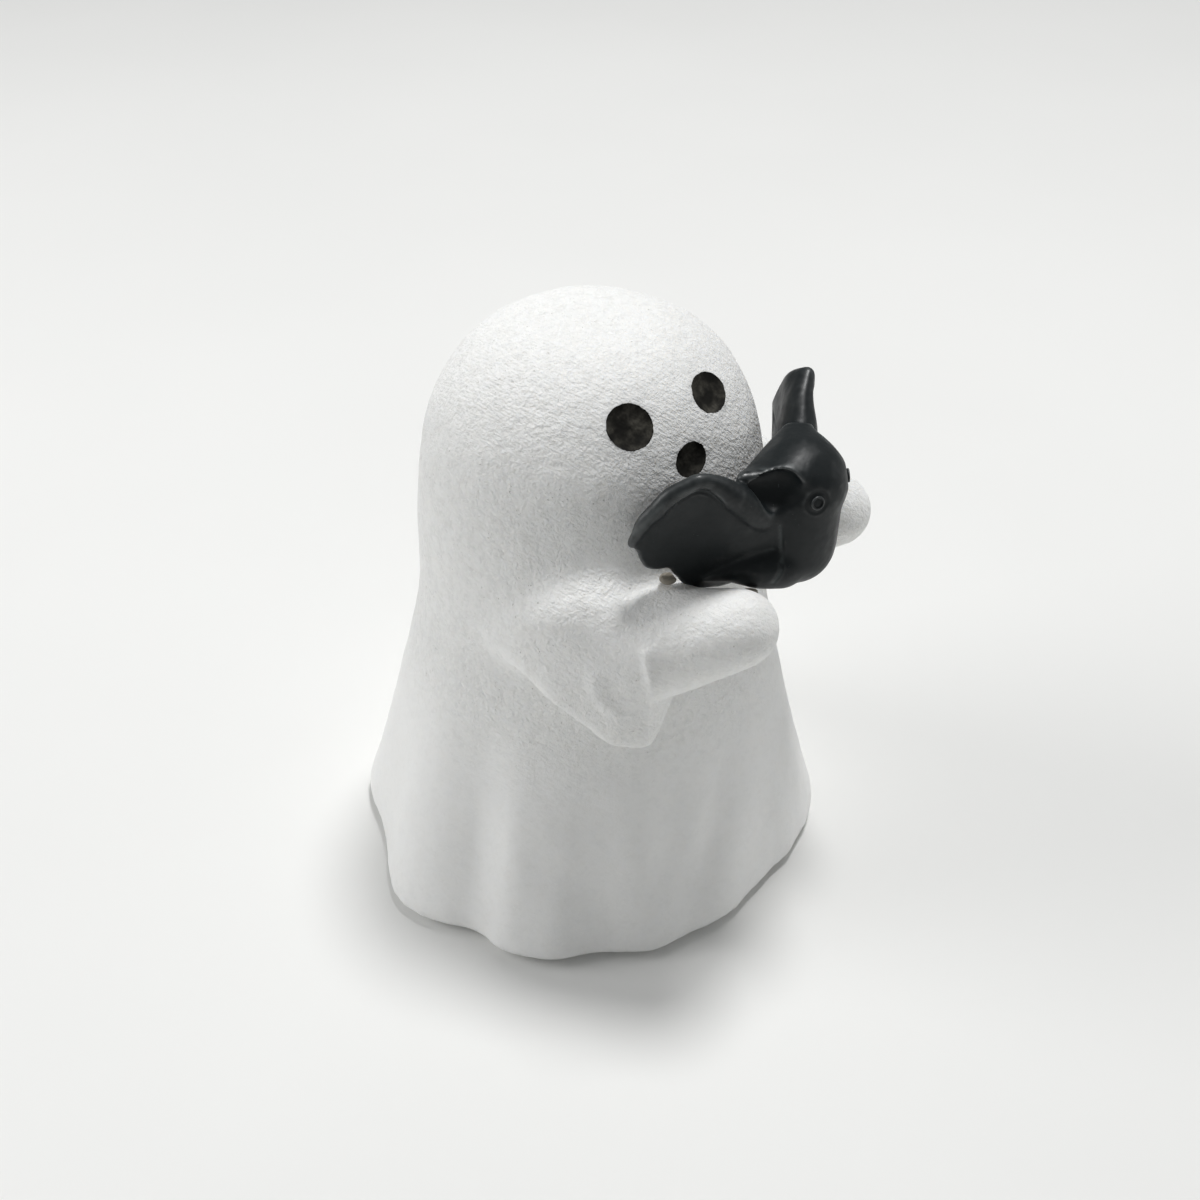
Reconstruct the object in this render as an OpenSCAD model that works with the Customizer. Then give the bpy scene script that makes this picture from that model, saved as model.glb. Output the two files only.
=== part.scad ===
/* [Body] */
// Height from the table to the top of the head
body_h = 75; // [72:0.5:78]
// Radius at the fullest part, where the sleeves leave the body
body_r = 22; // [21:0.25:22]
// Height of the fullest part above the table
full_h = 39.5; // [38:0.5:41]
// Bluntness of the head, where 2 would be an ellipse
dome_power = 3; // [2.6:0.1:3.2]
// Mean radius of the robe at its hem
hem_r = 31; // [29:0.25:33]
// How far the hem's centre lies to the ghost's right of the head's centre
hem_shift = 1; // [0:0.1:1.5]
// Curve of the robe's flare, where 1 would be a straight cone
flare_power = 1.15; // [1.05:0.05:1.5]
// Height at which the folds of the robe fade out
fold_h = 40; // [30:1:44]
// Depth of the folds, as a share of the carved depth
fold_scale = 1; // [0:0.1:1.2]
// Height of the robe's lower edge above the table
hem_lift = 1; // [0.6:0.1:1.4]
// Radius of the rounded lower edge of the robe
hem_round = 0.7; // [0.5:0.1:1]

/* [Face] */
// Turn of the face to the ghost's right, from the way that the arms point
face_turn = 21.5; // [0:0.1:30]
// Angle from the middle of the face to the middle of an eye
eye_angle = 21.3; // [18:0.1:24]
// Height of the right eye above the table
eye_h = 69.5; // [67:0.25:70]
// How much higher the left eye was drilled
eye_lift = 0.3; // [0:0.1:0.8]
// Diameter of a drilled eye
eye_d = 5.4; // [4:0.1:5.6]
// Turn of an eye's drilling towards the middle of the face
eye_toe = 4; // [0:1:14]
// Height of the mouth above the table
mouth_h = 64.9; // [62:0.1:66]
// Diameter of the drilled mouth
mouth_d = 4.2; // [3:0.1:4.6]
// Depth of the drilled holes
hole_depth = 0.9; // [0.6:0.05:1.5]
// Thickness of the paint on the floor of a hole
paint_t = 0.15; // [0.1:0.05:0.3]

/* [Arms] */
// Radius of the rounded end of a hand
hand_r = 4.6; // [4.3:0.1:4.7]
// Half the distance between the two hands
hand_x = 13.6; // [13.4:0.1:14]
// Distance from the body's axis forward to the middle of the right hand's end
right_hand_reach = 27.9; // [27:0.1:28.4]
// Distance from the body's axis forward to the middle of the left hand's end
left_hand_reach = 26.9; // [26.5:0.1:28.4]
// Height of the hands above the table
hand_h = 49.6; // [48.5:0.1:49.6]
// Radius of the forearm where it leaves its cuff
forearm_r = 6.6; // [6.4:0.1:6.6]
// Distance from the body's axis forward to the cuff
cuff_reach = 19; // [18.5:0.25:20]
// How far the right cuff hangs below the forearm's axis
right_cuff_drop = 12.25; // [10:0.25:14]
// How far the left cuff hangs below the forearm's axis
left_cuff_drop = 9.75; // [9:0.25:12]

/* [Bat] */
// Radius of the bat's head and body
bat_r = 5.6; // [5.4:0.1:5.8]
// Distance from the ghost's axis forward to the middle of the bat
bat_reach = 27.3; // [27.2:0.1:27.5]
// Height of the bat's lowest point above the table
bat_foot_h = 48.2; // [48:0.1:49]
// Height of the middle of the bat's head
bat_head_h = 60.8; // [60.5:0.1:61.5]
// Half the span between the bend of one wing and the other
wing_bend_x = 13.9; // [13:0.1:14.5]
// Height of the bend of a wing
wing_bend_h = 66.4; // [66.3:0.1:67]
// Half the span between the tips of the wings
wing_tip_x = 17.8; // [17.4:0.1:18]
// Thickness of the thin part of a wing
wing_t = 1.8; // [1.4:0.1:2]

/* [Hidden] */

// Crests and troughs of the hem: the angle round the body and how far the edge stands out there
hem_folds = [[12, 1.2], [30, -1.2], [48, 1.5], [66, -1], [84, 1.3], [101, -1.2], [119, 1], [141, -0.8],
             [165, 3.1], [181, 0.2], [194, 1.8], [204, 2], [215, 0.8], [223, 1], [233, -0.1], [242, 0.3],
             [262, -1], [296, 1.1], [318, -1.1], [338, 1.2], [355, -1], [372, 1.2]];
// How quickly a fold deepens on its way down
fold_power = 1.5;
dome_h = body_h - full_h;
// How far the flat foot lies inside the hem
foot_in = 3.2;
// Height at which the rounding of the hem's edge ends
edge_top = hem_lift + hem_round;

// Counts of the body's sides and of the rings of points up the hem's edge, the robe and the head
body_sides = 72;
edge_rings = 3;
robe_rings = 12;
dome_rings = 14;
// Sides of the drilled holes, of large balls and of balls up to the small radius
hole_sides = 48;
ball_sides = 32;
small_ball_sides = 20;
small_ball_r = 2;

function mix(a, b, t) = a + (b - a) * t;
function ease(t) = (1 - cos(180 * t)) / 2;
function wrap(a, low) = a < low ? wrap(a + 360, low) : a < low + 360 ? a : wrap(a - 360, low);

// How far the hem stands out at an angle, eased from each crest to the next trough
function fold_at(a, i = 0) = a <= hem_folds[i + 1][0]
    ? mix(hem_folds[i][1], hem_folds[i + 1][1],
          ease((a - hem_folds[i][0]) / (hem_folds[i + 1][0] - hem_folds[i][0])))
    : fold_at(a, i + 1);

// The robe's radius at an angle and a height, with the folds growing towards the hem
function robe_r(a, z) = body_r + (hem_r - body_r - hem_shift * cos(a)) * pow(1 - z / full_h, flare_power)
    + fold_scale * fold_at(wrap(a, hem_folds[0][0])) * pow(max(0, 1 - z / fold_h), fold_power);
function dome_r(z) = body_r * pow(1 - pow((z - full_h) / dome_h, dome_power), 1 / dome_power);
// How much the foot, and the rounding of the lower edge, are drawn in
function edge_in(z) = z == 0 ? foot_in : z >= edge_top ? 0
    : hem_round - sqrt(pow(hem_round, 2) - pow(edge_top - z, 2));

// Heights of the rings of points from the table to just below the crown
ring_heights = concat(
    [0],
    [for (i = [0 : edge_rings - 1]) edge_top - hem_round * cos(90 * i / edge_rings)],
    [for (i = [0 : robe_rings]) mix(edge_top, full_h, i / robe_rings)],
    [for (i = [1 : dome_rings - 1]) full_h + dome_h * pow(sin(90 * i / dome_rings), 2 / dome_power)]);

// The robe and the head as one skin of rings, closed by a flat foot and the crown
module robe() {
    rings = len(ring_heights);
    points = concat(
        [for (z = ring_heights, k = [0 : body_sides - 1])
            let (a = 360 * k / body_sides, r = z <= full_h ? robe_r(a, z) - edge_in(z) : dome_r(z))
            [r * cos(a), r * sin(a), z]],
        [[0, 0, 0], [0, 0, body_h]]);
    foot = rings * body_sides;
    crown = foot + 1;
    function next(k) = (k + 1) % body_sides;
    walls = [for (i = [0 : rings - 2], k = [0 : body_sides - 1], half = [0, 1])
        let (low = i * body_sides, high = low + body_sides)
        half == 0 ? [low + k, high + next(k), low + next(k)] : [low + k, high + k, high + next(k)]];
    caps = [for (k = [0 : body_sides - 1], end = [0, 1])
        let (top = (rings - 1) * body_sides)
        end == 0 ? [foot, k, next(k)] : [crown, top + next(k), top + k]];
    polyhedron(points = points, faces = concat(walls, caps));
}

module ball(at, r) {
    translate(at) sphere(r, $fn = r > small_ball_r ? ball_sides : small_ball_sides);
}

// Arms: the left forearm at its cuff, and the sleeve beside and inside the body
cuff_at = [hand_x + 2.4, -cuff_reach, hand_h - 4];
sleeve_mid = [body_r - 3.9, -9.6, hand_h - 5];
shoulder_at = [body_r - 7.5, 1, hand_h - 4];
shoulder_top = [body_r - 8, -7.5, hand_h - 1.8];
sleeve_r = forearm_r - 0.2;
cuff_r = forearm_r + 0.4;
// The hanging lower edge of the sleeve, from the shoulder to the tip of the cuff
edge_start = [body_r - 2.4, 4, hand_h - 6.6];
edge_side = [body_r + 0.5, -3, hand_h - 7.3];
edge_mid = [body_r + 1.4, -10.6, hand_h - 9.8];
edge_r = 2;
// How far the hanging tip of the cuff stands outside the forearm's axis, and where the edge turns to it
cuff_tip_out = 2.4;
edge_turn = [3, 2.5, 1.5];
// Thickness of the disc that ends the cuff, and the rise of the forearm towards the hand
cuff_disc_t = 0.8;
forearm_tilt = 12;

// A disc square to the forearm, for the flat end of the cuff
module cuff_disc(at, r) {
    translate(at) rotate([90 - forearm_tilt, 0, 0])
        cylinder(h = cuff_disc_t, r = r, center = true, $fn = ball_sides);
}

// The left sleeve and arm, for a hand that reaches so far and a cuff that hangs so low
module arm(reach, drop) {
    cuff_tip = cuff_at + [cuff_tip_out, 0, -drop];
    hull() {
        ball(shoulder_at, sleeve_r);
        ball(shoulder_top, sleeve_r);
        ball(sleeve_mid, sleeve_r);
        ball(edge_start, edge_r);
        ball(edge_side, edge_r);
        ball(edge_mid, edge_r);
    }
    hull() {
        ball(sleeve_mid, sleeve_r);
        ball(edge_mid, edge_r);
        ball(cuff_tip + edge_turn, edge_r);
        cuff_disc(cuff_at - [0, 0, cuff_r - forearm_r], cuff_r);
        cuff_disc(cuff_tip, edge_r);
    }
    hull() {
        ball(cuff_at, forearm_r);
        ball([hand_x, -reach, hand_h], hand_r);
    }
}

// The way that the dome faces at a height: the tilt of its surface up from level
function dome_tilt(z) = let (u = (z - full_h) / dome_h)
    atan2(pow(u, dome_power - 1) / dome_h, pow(dome_r(z) / body_r, dome_power - 1) / body_r);

// Places its children on the surface of the face, with their Z axis pointing out of the stone
module on_face(side_angle, z, toe = 0) {
    rotate(-90 - face_turn + side_angle)
        translate([dome_r(z), 0, z])
            rotate([0, 90 - dome_tilt(z), toe])
                children();
}

module at_right_eye() {
    on_face(-eye_angle, eye_h, eye_toe) children();
}

module at_left_eye() {
    on_face(eye_angle, eye_h + eye_lift, -eye_toe) children();
}

module at_mouth() {
    on_face(0, mouth_h) children();
}

// How far the drill's path runs on outside the stone, and the gap between the paint and the wall
drill_run = 2;
paint_gap = 0.05;

module drilled_hole(d) {
    translate([0, 0, -hole_depth]) cylinder(h = hole_depth + drill_run, d = d, $fn = hole_sides);
}

module paint(d) {
    color("#2b2622") translate([0, 0, -hole_depth])
        cylinder(h = paint_t, d = d - 2 * paint_gap, $fn = hole_sides);
}

module ghost_body() {
    color("white") difference() {
        union() {
            robe();
            arm(left_hand_reach, left_cuff_drop);
            mirror([1, 0, 0]) arm(right_hand_reach, right_cuff_drop);
        }
        at_right_eye() drilled_hole(eye_d);
        at_left_eye() drilled_hole(eye_d);
        at_mouth() drilled_hole(mouth_d);
    }
}

module right_eye_paint() {
    at_right_eye() paint(eye_d);
}

module left_eye_paint() {
    at_left_eye() paint(eye_d);
}

module mouth_paint() {
    at_mouth() paint(mouth_d);
}

// Bat: the root, bend and tip of the left wing, and the points of its scalloped lower edge
wing_root = [bat_r - 1, -bat_reach + 2.5, bat_head_h - 1.2];
wing_bend = [wing_bend_x, -bat_reach + 6.2, wing_bend_h];
wing_tip = [wing_tip_x, -bat_reach + 11.2, wing_bend_h - 7];
wing_edge = [[wing_tip_x - 0.4, -bat_reach + 9.8, wing_bend_h - 8.4],
             [wing_tip_x - 2.6, -bat_reach + 8.9, wing_bend_h - 11],
             [wing_tip_x - 4, -bat_reach + 8.2, wing_bend_h - 11.6],
             [wing_tip_x - 7, -bat_reach + 6.6, wing_bend_h - 14],
             [bat_r - 1, -bat_reach + 3.4, wing_bend_h - 16]];
// Radii of the ridge along the wing's upper edge, at its root, its bend and its tip
ridge_root_r = 1.9;
ridge_r = 1.5;
ridge_tip_r = 0.8;

// A thin web between the bend of the wing and two other points
module web(from, to) {
    hull() for (at = [wing_bend, from, to]) ball(at, wing_t / 2);
}

module left_wing() {
    hull() {
        ball(wing_root, ridge_root_r);
        ball(wing_bend, ridge_r);
    }
    hull() {
        ball(wing_bend, ridge_r);
        ball(wing_tip, ridge_tip_r);
    }
    rim = concat([wing_tip], wing_edge, [wing_root]);
    for (i = [1 : len(rim) - 1]) web(rim[i - 1], rim[i]);
}

// The left ear, which points to the side and back, with a brow in front and a hollow below
ear_root = [2.4, -bat_reach + 0.4, bat_head_h + 2.4];
ear_back = [4.2, -bat_reach + 3.5, bat_head_h + 3.7];
ear_tip = [7, -bat_reach + 3, bat_head_h + 2.6];
brow = [2.6, -bat_reach - 2, bat_head_h + 3.3];
ear_hollow = [7, -bat_reach - 1.6, bat_head_h + 1];
ear_root_r = 2.8;
ear_rim_r = 1;
brow_r = 1.5;
ear_hollow_r = 3;

module left_ear() {
    hull() {
        ball(ear_root, ear_root_r);
        ball(ear_back, ear_rim_r);
        ball(ear_tip, ear_rim_r);
    }
    hull() {
        ball(ear_tip, ear_rim_r);
        ball(brow, brow_r);
    }
}

// Radius of the lower end of the bat's body
rump_r = bat_r - 0.2;

// The left hip, a low swelling between the body and the lower edge of the wing
hip_at = [4.6, -bat_reach + 0.3, bat_foot_h + 4.2];
hip_end = [8.8, -bat_reach + 4.3, bat_foot_h + 4.4];
hip_r = 2.9;
hip_end_r = 1.3;

module left_hip() {
    hull() {
        ball(hip_at, hip_r);
        ball(hip_end, hip_end_r);
    }
}

module bat() {
    color("#1c2224") difference() {
        union() {
            hull() {
                ball([0, -bat_reach, bat_head_h], bat_r);
                ball([0, -bat_reach, bat_foot_h + rump_r], rump_r);
            }
            for (side = [0, 1]) mirror([side, 0, 0]) {
                left_wing();
                left_ear();
                left_hip();
            }
        }
        for (side = [0, 1]) mirror([side, 0, 0]) ball(ear_hollow, ear_hollow_r);
    }
}

// Glue: a drop where the bat lies close to the stone, squeezed out to fill the gap between them
hand_glue_at = [8.3, -bat_reach + 0.9, hand_h + 1];
hand_glue_r = 1.5;
wing_glue_at = [-14, -cuff_reach + 0.2, hand_h + 3.7];
wing_glue_r = 1.5;

module glue_drop(at, r) {
    color("#cbb88f") difference() {
        ball(at, r);
        ghost_body();
        bat();
    }
}

module right_hand_glue() {
    glue_drop([-hand_glue_at[0], hand_glue_at[1], hand_glue_at[2]], hand_glue_r);
}

module left_hand_glue() {
    glue_drop(hand_glue_at, hand_glue_r);
}

module wing_glue() {
    glue_drop(wing_glue_at, wing_glue_r);
}

ghost_body();
bat();
right_eye_paint();
left_eye_paint();
mouth_paint();
right_hand_glue();
left_hand_glue();
wing_glue();
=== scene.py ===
import math

import bmesh
import bpy
import numpy as np
from bpy.props import FloatProperty, FloatVectorProperty, PointerProperty
from mathutils import Matrix, Vector, noise


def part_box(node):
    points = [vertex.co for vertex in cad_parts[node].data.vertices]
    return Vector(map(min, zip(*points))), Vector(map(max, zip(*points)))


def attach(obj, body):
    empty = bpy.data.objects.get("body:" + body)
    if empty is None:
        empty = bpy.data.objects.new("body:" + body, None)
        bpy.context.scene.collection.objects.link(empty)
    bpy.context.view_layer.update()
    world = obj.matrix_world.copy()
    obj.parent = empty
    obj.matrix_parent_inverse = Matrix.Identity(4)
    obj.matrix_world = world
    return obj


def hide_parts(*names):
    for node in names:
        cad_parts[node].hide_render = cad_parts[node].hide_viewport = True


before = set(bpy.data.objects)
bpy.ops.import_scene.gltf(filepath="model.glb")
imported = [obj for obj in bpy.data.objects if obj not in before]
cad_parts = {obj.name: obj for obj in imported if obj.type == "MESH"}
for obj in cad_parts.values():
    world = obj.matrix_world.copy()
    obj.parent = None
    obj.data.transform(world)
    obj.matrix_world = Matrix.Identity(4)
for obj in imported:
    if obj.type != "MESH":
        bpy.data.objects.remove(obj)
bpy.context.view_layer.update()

bl_info = {
    "name": "Marble ghost carving",
    "version": (1, 0, 0),
    "blender": (4, 5, 0),
    "location": "View3D > Sidebar > Ghost",
    "description": "Carves a marble ghost that holds a black stone bat, around its packed CAD frame",
    "category": "Add Mesh",
}

# The frame is in metres; shapes are modelled in millimetres and brought to metres when they are done
MM = 0.001

# The lowest corner of the CAD bat, in millimetres
BAT_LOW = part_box("bat")[0] / MM

# The photograph's camera: its place and what it looks at, and the width of its view
CAMERA_AT = Vector((-146.1, -90.8, 164.0)) * MM
CAMERA_TARGET = Vector((0.519, -0.846, 33.75)) * MM
CAMERA_VIEW = math.radians(40)
SENSOR_WIDTH = 36.0

# Depth of the drilled eyes and mouth, and how far the drill's path runs on outside the stone
HOLE_DEPTH = 0.9
DRILL_RUN = 3.0

# How far one round of smoothing draws a point towards the mean of its neighbours
PULL = 0.5
# Steps from each place to the next on a smooth curve
CURVE_STEPS = 6
# Edges sharper than this are shaded as edges
SHARP_ANGLE = math.radians(50)

# What every colour among the settings has in common
COLOR = {"subtype": "COLOR", "size": 4, "min": 0, "max": 1}


class GhostSettings(bpy.types.PropertyGroup):
    """Sizes and colours of the marble ghost."""
    grid: FloatProperty(
        name="Grid", description="Size of the grid that the stone is carved on",
        default=0.472 * MM, min=0.3 * MM, unit="LENGTH")
    unevenness: FloatProperty(
        name="Unevenness", description="Depth of the hollows that carving by hand leaves",
        default=0.16 * MM, min=0, unit="LENGTH")
    peck_depth: FloatProperty(
        name="Peck depth", description="Depth of the tool marks on the head and the upper robe",
        default=0.27 * MM, min=0, unit="LENGTH")
    marble_color: FloatVectorProperty(
        name="Marble", description="Colour of the marble",
        default=(0.93, 0.93, 0.915, 1), **COLOR)
    grain_color: FloatVectorProperty(
        name="Grain", description="Colour of the greyer crystals",
        default=(0.8, 0.8, 0.785, 1), **COLOR)
    speck_color: FloatVectorProperty(
        name="Specks", description="Colour of the grit in the tool marks",
        default=(0.36, 0.345, 0.31, 1), **COLOR)


class BatSettings(bpy.types.PropertyGroup):
    """Sizes and colours of the black stone bat."""
    grid: FloatProperty(
        name="Grid", description="Size of the grid that the bat is carved on",
        default=0.1625 * MM, min=0.12 * MM, unit="LENGTH")
    web_thickness: FloatProperty(
        name="Web thickness", description="Thickness of the thin part of a wing",
        default=1.1 * MM, min=0.5 * MM, unit="LENGTH")
    web_sink: FloatProperty(
        name="Web sink", description="How far a web lies behind the front of its arm",
        default=0.4 * MM, min=0, unit="LENGTH")
    groove_depth: FloatProperty(
        name="Groove depth", description="Depth of the groove that follows the arm of a wing",
        default=0.25 * MM, min=0, unit="LENGTH")
    eye_diameter: FloatProperty(
        name="Eye ring", description="Diameter of the ring round an eye",
        default=1.65 * MM, min=0.8 * MM, unit="LENGTH")
    stone_color: FloatVectorProperty(
        name="Stone", description="Colour of the black stone",
        default=(0.0082, 0.0112, 0.0122, 1), **COLOR)
    dust_color: FloatVectorProperty(
        name="Dust", description="Colour of the stone dust in its hollows",
        default=(0.11, 0.125, 0.125, 1), **COLOR)


class DetailSettings(bpy.types.PropertyGroup):
    """Sizes and colours of the paint in the face and of the glue."""
    paint_thickness: FloatProperty(
        name="Paint thickness", description="Thickness of the paint in the middle of a drilled hole",
        default=0.15 * MM, min=0.05 * MM, unit="LENGTH")
    paint_color: FloatVectorProperty(
        name="Paint", description="Colour of the dark paint",
        default=(0.011, 0.0105, 0.0092, 1), **COLOR)
    paint_speck_color: FloatVectorProperty(
        name="Paint specks", description="Colour of the stone that shows through the paint",
        default=(0.075, 0.071, 0.06, 1), **COLOR)
    glue_grid: FloatProperty(
        name="Glue grid", description="Size of the grid that a bead of glue is shaped on",
        default=0.12 * MM, min=0.1 * MM, unit="LENGTH")
    # The glue's colour is darkened as painted shade of the narrow gaps that the beads sit in
    shaded_glue_color: FloatVectorProperty(
        name="Glue", description="Colour of the glue",
        default=(0.3, 0.27, 0.22, 1), **COLOR)


class StageSettings(bpy.types.PropertyGroup):
    """The floor and the light."""
    floor_size: FloatProperty(
        name="Floor width", description="Width of the floor", default=6.0, min=1, unit="LENGTH")
    floor_color: FloatVectorProperty(
        name="Floor", description="Colour of the floor",
        default=(0.83, 0.83, 0.815, 1), **COLOR)
    sky_color: FloatVectorProperty(
        name="Surroundings", description="Colour of the light from all round",
        default=(0.97, 0.99, 1.0, 1), **COLOR)
    sky_strength: FloatProperty(
        name="Surrounding light", description="Strength of the light from all round", default=0.21, min=0)
    lamp_power: FloatProperty(
        name="Lamp", description="Power of the lamp overhead", default=4.8, min=0, unit="POWER")
    lamp_size: FloatProperty(
        name="Lamp size", description="Width of the lamp overhead", default=0.2, min=0.05,
        unit="LENGTH")


# Shaping

def node_shape(name):
    """A copy of a CAD node's mesh with its doubles merged, in millimetres."""
    shape = bmesh.new()
    shape.from_mesh(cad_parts[name].data)
    bmesh.ops.remove_doubles(shape, verts=shape.verts, dist=1e-6)
    bmesh.ops.scale(shape, vec=(1 / MM,) * 3, verts=shape.verts)
    return shape


def join(shape, other):
    """Adds another bmesh to a shape and frees it."""
    spare = bpy.data.meshes.new("spare")
    other.to_mesh(spare)
    other.free()
    shape.from_mesh(spare)
    bpy.data.meshes.remove(spare)


def wrap_skin(points_shape):
    """Turns the points of a bmesh into their tight convex skin."""
    bmesh.ops.delete(points_shape, geom=points_shape.edges[:], context="EDGES_FACES")
    hull = bmesh.ops.convex_hull(points_shape, input=points_shape.verts)
    loose = {part for part in hull["geom_interior"] + hull["geom_unused"]
             if isinstance(part, bmesh.types.BMVert)}
    bmesh.ops.delete(points_shape, geom=list(loose), context="VERTS")
    bmesh.ops.recalc_face_normals(points_shape, faces=points_shape.faces)


def add_skin(shape, balls):
    """Adds the tight skin round balls, each given as a place and a radius."""
    skin = bmesh.new()
    for place, radius in balls:
        bmesh.ops.create_icosphere(skin, subdivisions=3, radius=radius,
                                   matrix=Matrix.Translation(place))
    wrap_skin(skin)
    join(shape, skin)


def add_chain(shape, balls):
    """Adds a limb through balls, as a skin from each ball to the next."""
    for pair in zip(balls, balls[1:]):
        add_skin(shape, pair)


def curve_through(places, steps):
    """Points on a smooth curve through the places, with so many steps from each to the next."""
    ends = [2 * places[0] - places[1]] + list(places) + [2 * places[-1] - places[-2]]
    points = []
    for before, start, end, after in zip(ends, ends[1:], ends[2:], ends[3:]):
        for step in range(steps):
            t = step / steps
            points.append(0.5 * (2 * start + (end - before) * t
                                 + (2 * before - 5 * start + 4 * end - after) * t ** 2
                                 + (3 * start - before - 3 * end + after) * t ** 3))
    return points + [places[-1]]


def curved_chain(places, radii, steps):
    """Balls on a smooth curve through the places, with radii eased from each to the next."""
    points = curve_through(places, steps)
    stops = np.linspace(0, len(places) - 1, len(points))
    return list(zip(points, np.interp(stops, range(len(places)), radii)))


def new_object(shape, name):
    """A new object in the scene from a bmesh, which is freed."""
    mesh = bpy.data.meshes.new(name)
    shape.to_mesh(mesh)
    shape.free()
    made = bpy.data.objects.new(name, mesh)
    bpy.context.scene.collection.objects.link(made)
    return made


def apply_modifier(made, kind, **values):
    """Gives an object's mesh the result of a modifier."""
    modifier = made.modifiers.new(kind.title(), kind)
    for key, value in values.items():
        setattr(modifier, key, value)
    bpy.context.view_layer.update()
    result = bpy.data.meshes.new_from_object(made.evaluated_get(bpy.context.evaluated_depsgraph_get()))
    if not result.polygons:
        raise RuntimeError(f"{kind} left nothing of {made.name}")
    made.modifiers.clear()
    old = made.data
    made.data = result
    bpy.data.meshes.remove(old)


def rebuild(made, grid):
    """Makes the shells of an object one skin of even faces."""
    apply_modifier(made, "REMESH", mode="VOXEL", voxel_size=grid)


def combine(made, tool_shape, operation):
    """Cuts a tool's shape out of an object, or joins it on."""
    tool = new_object(tool_shape, "tool")
    apply_modifier(made, "BOOLEAN", operation=operation, object=tool, solver="MANIFOLD")
    tool_mesh = tool.data
    bpy.data.objects.remove(tool)
    bpy.data.meshes.remove(tool_mesh)


def read_numbers(rows, key, kind, width):
    """The numbers that each row of a mesh holds under a key."""
    numbers = np.empty(len(rows) * width, kind)
    rows.foreach_get(key, numbers)
    return numbers.reshape(-1, width)


def get_points(mesh):
    return read_numbers(mesh.vertices, "co", np.float32, 3).astype(float)


def set_points(mesh, points):
    mesh.vertices.foreach_set("co", points.astype(np.float32).ravel())
    mesh.update()


def get_normals(mesh):
    return read_numbers(mesh.vertices, "normal", np.float32, 3).astype(float)


def get_edges(mesh):
    return read_numbers(mesh.edges, "vertices", np.int32, 2)


def relaxed(points, edges, weight, rounds):
    """The points drawn towards the mean of their neighbours, each by its own weight."""
    start = np.concatenate([edges[:, 0], edges[:, 1]])
    end = np.concatenate([edges[:, 1], edges[:, 0]])
    count = np.bincount(start, minlength=len(points))[:, None]
    weight = np.broadcast_to(weight, len(points))[:, None]
    for _ in range(rounds):
        sums = [np.bincount(start, points[end, axis], len(points)) for axis in range(3)]
        points = points + weight * (np.stack(sums, 1) / count - points)
    return points


def rough(points, scale):
    """Smooth noise from -1 to 1 at each point, with features of about the given size."""
    return np.array([noise.noise(Vector(point) / scale) for point in points])


def ease(values, low, high):
    """0 below the low value, 1 above the high one, and a smooth step between them."""
    t = np.clip((values - low) / (high - low), 0, 1)
    return t * t * (3 - 2 * t)


def bell(distance, width):
    """1 at no distance, falling off smoothly to about a third at the width."""
    return np.exp(-(distance / width) ** 2)


def to_left(points):
    """The points with those of the right side folded over to the left."""
    return np.column_stack([np.abs(points[:, 0]), points[:, 1:]])


def from_point(points, place):
    """The distance of each point from a place."""
    return np.linalg.norm(points - np.array(place), axis=1)


def from_line(points, line):
    """The distance of each point from a line of points."""
    line = np.array(line, float)
    least = np.full(len(points), np.inf)
    for start, end in zip(line, line[1:]):
        along = end - start
        t = np.clip((points - start) @ along / (along @ along), 0, 1)
        least = np.minimum(least, np.linalg.norm(points - start - t[:, None] * along, axis=1))
    return least


def snapped(line, points):
    """A line with each of its points moved to the nearest of some points."""
    return [points[np.argmin(((points - np.array(place)) ** 2).sum(1))] for place in line]


def set_attribute(mesh, name, values):
    """Stores a number for each vertex, for a material to read."""
    layer = mesh.attributes.new(name, "FLOAT", "POINT")
    layer.data.foreach_set("value", values.astype(np.float32))


def finish_piece(made, materials, node):
    """Brings a modelled piece to metres, dresses it and puts it in the place of its CAD node."""
    made.data.transform(Matrix.Scale(MM, 4))
    made.data.materials.clear()
    for material in materials:
        made.data.materials.append(material)
    made.data.shade_smooth()
    made.data.set_sharp_from_angle(angle=SHARP_ANGLE)
    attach(made, "root")
    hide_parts(node)


# Materials

def new_material(name):
    """A material with only a Principled shader, and the tree that it is in."""
    material = bpy.data.materials.new(name)
    material.use_nodes = True
    tree = material.node_tree
    shader = next(node for node in tree.nodes if node.type == "BSDF_PRINCIPLED")
    return material, tree, shader


def set_inputs(tree, node, values):
    """Sets or links a node's inputs, which are given by name or number."""
    for key, value in dict(values).items():
        if isinstance(value, bpy.types.NodeSocket):
            tree.links.new(value, node.inputs[key])
        else:
            node.inputs[key].default_value = value


def add_node(tree, kind, values=(), **settings):
    """A new node with settings, and with values or links for its inputs."""
    node = tree.nodes.new(kind)
    for key, value in settings.items():
        setattr(node, key, value)
    set_inputs(tree, node, values)
    return node


def object_place(tree):
    return add_node(tree, "ShaderNodeTexCoord").outputs["Object"]


def slanted_place(tree, sizes, turn):
    """The place on the object, measured along turned axes by the sizes of a pattern's marks."""
    mapping = add_node(tree, "ShaderNodeMapping",
                       {"Vector": object_place(tree), "Rotation": turn, "Scale": sizes},
                       vector_type="TEXTURE")
    return mapping.outputs["Vector"]


def noise_value(tree, place, scale, detail=2.0, roughness=0.5):
    """Noise from 0 to 1, with about so many features to the metre as the scale says."""
    texture = add_node(tree, "ShaderNodeTexNoise",
                       {"Vector": place, "Scale": scale, "Detail": detail, "Roughness": roughness})
    return texture.outputs["Fac"]


def remap(tree, value, low, high, to_low=0.0, to_high=1.0):
    """A value brought from one range to another, and kept inside it."""
    node = add_node(tree, "ShaderNodeMapRange", {
        "Value": value, "From Min": low, "From Max": high, "To Min": to_low, "To Max": to_high},
        interpolation_type="SMOOTHSTEP")
    return node.outputs["Result"]


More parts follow.
